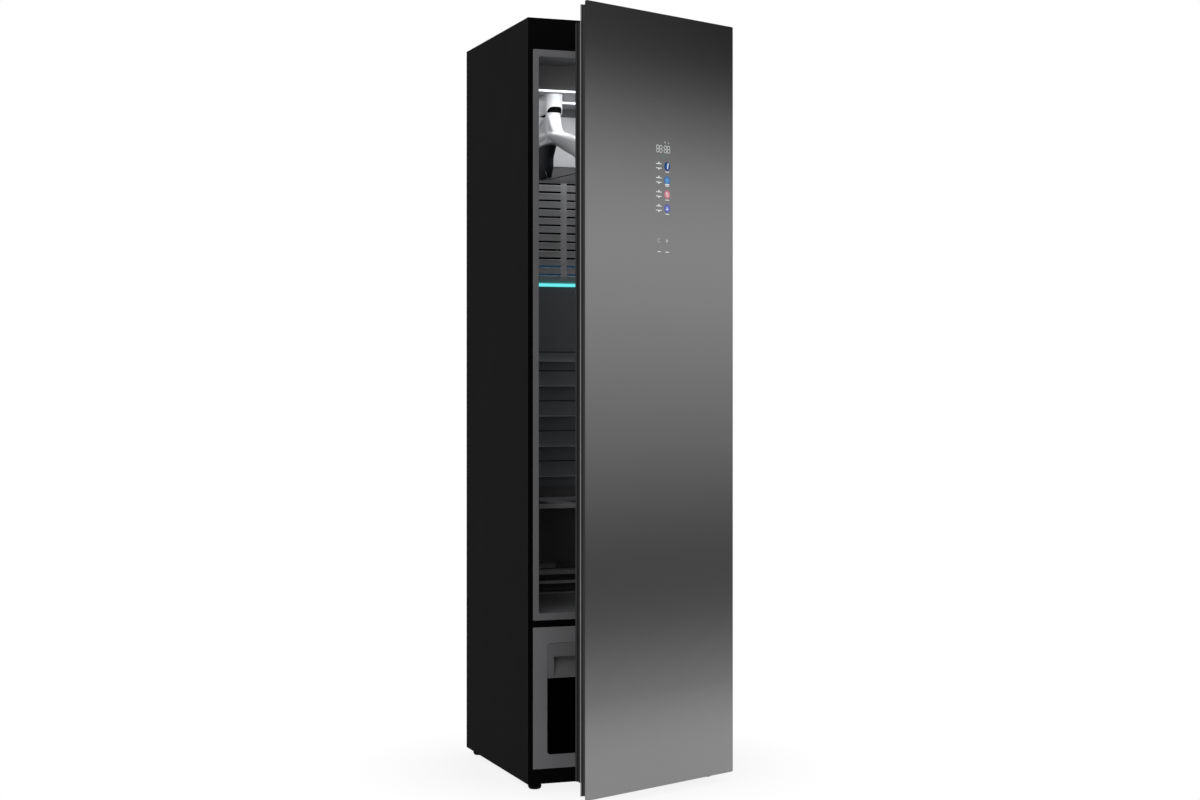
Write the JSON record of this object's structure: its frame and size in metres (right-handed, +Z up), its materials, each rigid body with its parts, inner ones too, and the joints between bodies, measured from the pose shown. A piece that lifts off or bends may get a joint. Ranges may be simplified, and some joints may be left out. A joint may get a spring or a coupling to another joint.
{
  "type": "clothes care steam cabinet",
  "caption": "Tall steam cabinet for clothes with a mirror glass door ajar, air hangers under the ceiling, a slotted rear wall, a shelf and pull-out water tanks.",
  "frame": {"origin": "on the floor, in the middle of the cabinet's footprint without its door", "axes": "+Z up, -Y out of the front towards the user, +X to the right as the user faces the cabinet"},
  "size_m": [0.5147, 0.7786, 1.85],
  "materials": {
    "cabinet_paint": "satin dark grey powder coat",
    "front_black": "smooth black",
    "galvanised": "zinc-plated sheet",
    "foam": "rigid foam",
    "liner_grey": "fine-grained dark grey",
    "panel_grey": "fine-grained grey",
    "rib_panel": "fine-grained dark grey",
    "light_guide": "lit cyan diffuser",
    "lamp": "lit white diffuser",
    "duct_grey": "smooth",
    "hanger_white": "satin white",
    "nozzle_grey": "satin dark grey",
    "shelf_grey": "fine-grained grey",
    "filter_grey": "fine mesh in a moulded frame",
    "fascia_grey": "satin grey",
    "tank_smoke": "dark translucent plastic",
    "tank_grip": "fine-grained dark grey",
    "bay_grey": "moulded",
    "machine_black": "black enamel",
    "coil_aluminium": "bare fins",
    "fan_plastic": "moulded",
    "boiler": "cast",
    "copper_pipe": null,
    "silicone": "translucent",
    "control_plastic": "moulded",
    "inlet_black": "moulded",
    "hinge_steel": "dark plated steel",
    "door_glass": "dark mirror-finish tempered glass",
    "door_frame": "dark anodised extrusion",
    "door_liner": "vacuum-formed dark grey",
    "gasket": "magnetic bellows gasket",
    "display": "printed board in a black carrier",
    "foot_plastic": "moulded"
  },
  "bodies": {
    "cabinet": {"outer_wrap": "cabinet_paint", "front_frame": "front_black", "rear_panel": "galvanised", "machine_panel": "galvanised", "service_cover": "galvanised", "base_pan": "galvanised", "insulation": "foam", "chamber_liner": "liner_grey", "back_grille": "panel_grey", "back_light_strip": "light_guide", "back_rib_panel": "rib_panel", "rear_duct": "duct_grey", "vent_box": "panel_grey", "ceiling_duct": "duct_grey", "ceiling_lights": "lamp", "hanger_sockets": "hanger_white", "shelf_runners": "shelf_grey", "tank_fascia": "fascia_grey", "tank_bay": "bay_grey", "compressor": "machine_black", "evaporator": "coil_aluminium", "condenser": "coil_aluminium", "base_fan_casing": "fan_plastic", "ceiling_fan_casing": "fan_plastic", "steam_generator": "boiler", "steam_pipe": "silicone", "pumps": "machine_black", "control_box": "control_plastic", "refrigerant_pipes": "copper_pipe", "mains_inlet": "inlet_black", "cabinet_hinges": "hinge_steel"},
    "door": {"door_glass": "door_glass", "door_frame": "door_frame", "door_liner": "door_liner", "door_gasket": "gasket", "display_module": "display", "door_hinges": "hinge_steel"},
    "shelf": {"shelf": "shelf_grey"},
    "filter": {"lint_filter": "filter_grey"},
    "water_tank_unit": {"water_tank": "tank_smoke", "water_tank_front": "tank_grip"},
    "drain_tank_unit": {"drain_tank": "tank_smoke", "drain_tank_front": "tank_grip"},
    "base_fan": {"base_fan_wheel": "fan_plastic"},
    "ceiling_fan": {"ceiling_fan_wheel": "fan_plastic"},
    "air_hanger_left": {"hanger_left": "hanger_white", "hanger_nozzle_left": "nozzle_grey"},
    "air_hanger_centre": {"hanger_centre": "hanger_white", "hanger_nozzle_centre": "nozzle_grey"},
    "air_hanger_right": {"hanger_right": "hanger_white", "hanger_nozzle_right": "nozzle_grey"},
    "levelling_foot_front_left": {"foot_front_left": "foot_plastic"},
    "levelling_foot_front_right": {"foot_front_right": "foot_plastic"},
    "levelling_foot_rear_left": {"foot_rear_left": "foot_plastic"},
    "levelling_foot_rear_right": {"foot_rear_right": "foot_plastic"}
  },
  "joints": [
    {"name": "door_swing", "type": "hinge", "parent": "cabinet", "child": "door", "pos_m": [0.239, -0.278, 0.936], "axis": [0, 0, 1], "range_deg": [-24.4, 85.6]},
    {"name": "hanger_left_pull_down", "type": "slide", "parent": "cabinet", "child": "air_hanger_left", "axis": [0, 0, -1], "range_m": [0, 0.045]},
    {"name": "hanger_centre_pull_down", "type": "slide", "parent": "cabinet", "child": "air_hanger_centre", "axis": [0, 0, -1], "range_m": [0, 0.045]},
    {"name": "hanger_right_pull_down", "type": "slide", "parent": "cabinet", "child": "air_hanger_right", "axis": [0, 0, -1], "range_m": [0, 0.045]},
    {"name": "shelf_slide", "type": "slide", "parent": "cabinet", "child": "shelf", "axis": [0, -1, 0], "range_m": [0, 0.13]},
    {"name": "filter_lift", "type": "slide", "parent": "cabinet", "child": "filter", "axis": [0, 0, 1], "range_m": [0, 0.06]},
    {"name": "water_tank_pull", "type": "slide", "parent": "cabinet", "child": "water_tank_unit", "axis": [0, -1, 0], "range_m": [0, 0.118]},
    {"name": "drain_tank_pull", "type": "slide", "parent": "cabinet", "child": "drain_tank_unit", "axis": [0, -1, 0], "range_m": [0, 0.026]},
    {"name": "base_fan_spin", "type": "hinge", "parent": "cabinet", "child": "base_fan", "pos_m": [0.168, 0.04, 0.15], "axis": [0, 0, 1], "continuous": true},
    {"name": "ceiling_fan_spin", "type": "hinge", "parent": "cabinet", "child": "ceiling_fan", "pos_m": [0, 0.118, 1.79], "axis": [0, 0, 1], "continuous": true},
    {"name": "foot_front_left_turn", "type": "hinge", "parent": "cabinet", "child": "levelling_foot_front_left", "pos_m": [-0.223, -0.234, 0.02], "axis": [0, 0, 1], "continuous": true},
    {"name": "foot_front_right_turn", "type": "hinge", "parent": "cabinet", "child": "levelling_foot_front_right", "pos_m": [0.223, -0.234, 0.02], "axis": [0, 0, 1], "continuous": true},
    {"name": "foot_rear_left_turn", "type": "hinge", "parent": "cabinet", "child": "levelling_foot_rear_left", "pos_m": [-0.223, 0.234, 0.02], "axis": [0, 0, 1], "continuous": true},
    {"name": "foot_rear_right_turn", "type": "hinge", "parent": "cabinet", "child": "levelling_foot_rear_right", "pos_m": [0.223, 0.234, 0.02], "axis": [0, 0, 1], "continuous": true}
  ]
}
